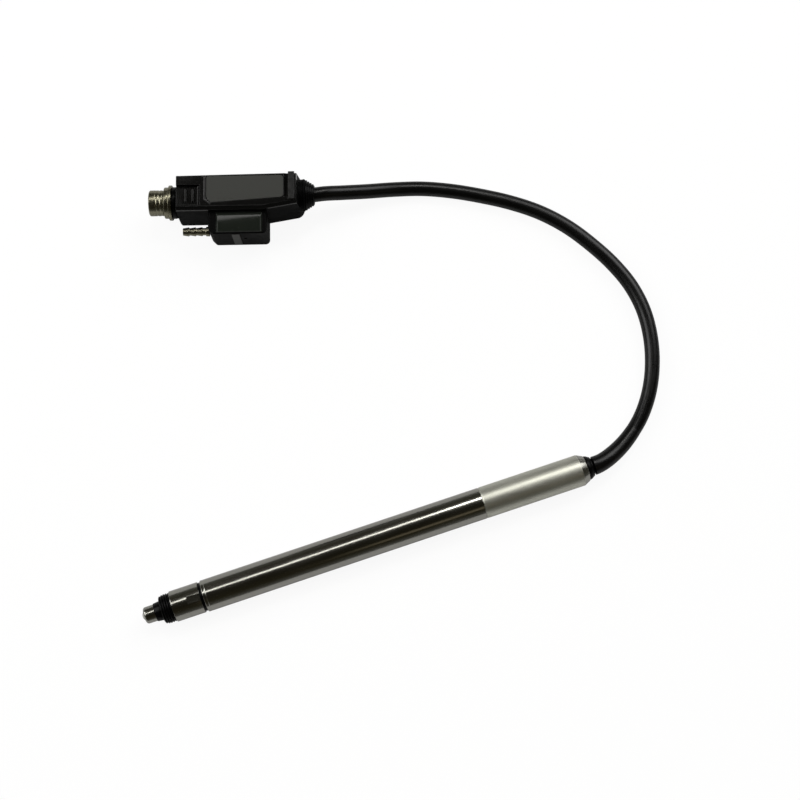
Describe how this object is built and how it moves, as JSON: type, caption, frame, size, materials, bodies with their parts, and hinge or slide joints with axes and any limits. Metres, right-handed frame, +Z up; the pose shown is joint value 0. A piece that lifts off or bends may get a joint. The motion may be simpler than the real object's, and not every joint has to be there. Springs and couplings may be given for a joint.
{
  "type": "contact displacement sensor",
  "caption": "Pencil-type contact displacement sensor: steel stem with an air-driven ball tip, joined by a short cable to a small relay box with a connector and an air nozzle.",
  "frame": {"origin": "on the stem's axis, at the middle of its polished length", "axes": "-X along the stem towards the ball tip, +Z up from the table, +Y towards the relay box"},
  "size_m": [0.1462, 0.107, 0.0134],
  "materials": {
    "polished_steel": "polished",
    "ball_steel": "polished",
    "satin_steel": "satin, bead blasted",
    "turned_aluminium": "turned",
    "spring_steel": "drawn",
    "cage_brass": "drawn",
    "seal_rubber": "matte",
    "boot_rubber": "satin",
    "cable_jacket": "semi-gloss",
    "black_plastic": "satin",
    "cover_plastic": "satin",
    "label_film": "satin",
    "smoked_window": "gloss",
    "scale_glass": "polished",
    "circuit_board": "semi-gloss",
    "lamp_white": "gloss",
    "sensor_dark": "gloss",
    "hose_clear": "gloss",
    "nickel_brass": "nickel plated",
    "gold_contact": "gold plated",
    "plated_steel": "zinc plated"
  },
  "bodies": {
    "stem_body": {"nose_ring": "polished_steel", "stem_tube": "polished_steel", "guide_sleeve": "polished_steel", "rear_sleeve": "satin_steel", "spring_seat": "turned_aluminium", "return_spring": "spring_steel", "nose_seal": "seal_rubber", "rod_wiper": "seal_rubber", "connector_seal": "seal_rubber", "dust_boot": "boot_rubber", "cable_bush": "boot_rubber", "bend_sleeve": "boot_rubber", "cable_gland": "boot_rubber", "cable": "cable_jacket", "optical_block": "black_plastic", "rear_bulkhead": "black_plastic", "housing_base": "black_plastic", "connector_insert": "black_plastic", "gland_nut": "black_plastic", "housing_cover": "cover_plastic", "label_plate": "label_film", "side_tag": "label_film", "indicator_window": "smoked_window", "collimator_lens": "scale_glass", "sensor_board": "circuit_board", "signal_board": "circuit_board", "relay_board": "circuit_board", "indicator_board": "circuit_board", "light_source": "lamp_white", "indicator_leds": "lamp_white", "image_sensor": "sensor_dark", "air_hose": "hose_clear", "air_nozzle": "nickel_brass", "connector_shell": "nickel_brass", "contact_pins": "gold_contact", "connector_nut": "plated_steel", "housing_screws": "plated_steel"},
    "spindle": {"contact_ball": "ball_steel", "contact_holder": "polished_steel", "spindle_shaft": "polished_steel", "piston": "turned_aluminium", "piston_ring": "seal_rubber", "scale_carrier": "turned_aluminium", "glass_scale": "scale_glass"},
    "cage": {"ball_cage": "cage_brass", "guide_balls": "ball_steel"}
  },
  "joints": [
    {"name": "spindle_slide", "type": "slide", "parent": "stem_body", "child": "spindle", "axis": [-1, 0, 0], "range_m": [0, 0.012], "stiffness_N_per_m": 40, "springref_m": -0.006, "deforming": ["dust_boot", "return_spring"]},
    {"name": "cage_slide", "type": "slide", "parent": "stem_body", "child": "cage", "axis": [-1, 0, 0], "range_m": [0, 0.006]}
  ],
  "couplings": [
    {"joint": "cage_slide", "follows": "spindle_slide", "ratio": 0.5}
  ]
}
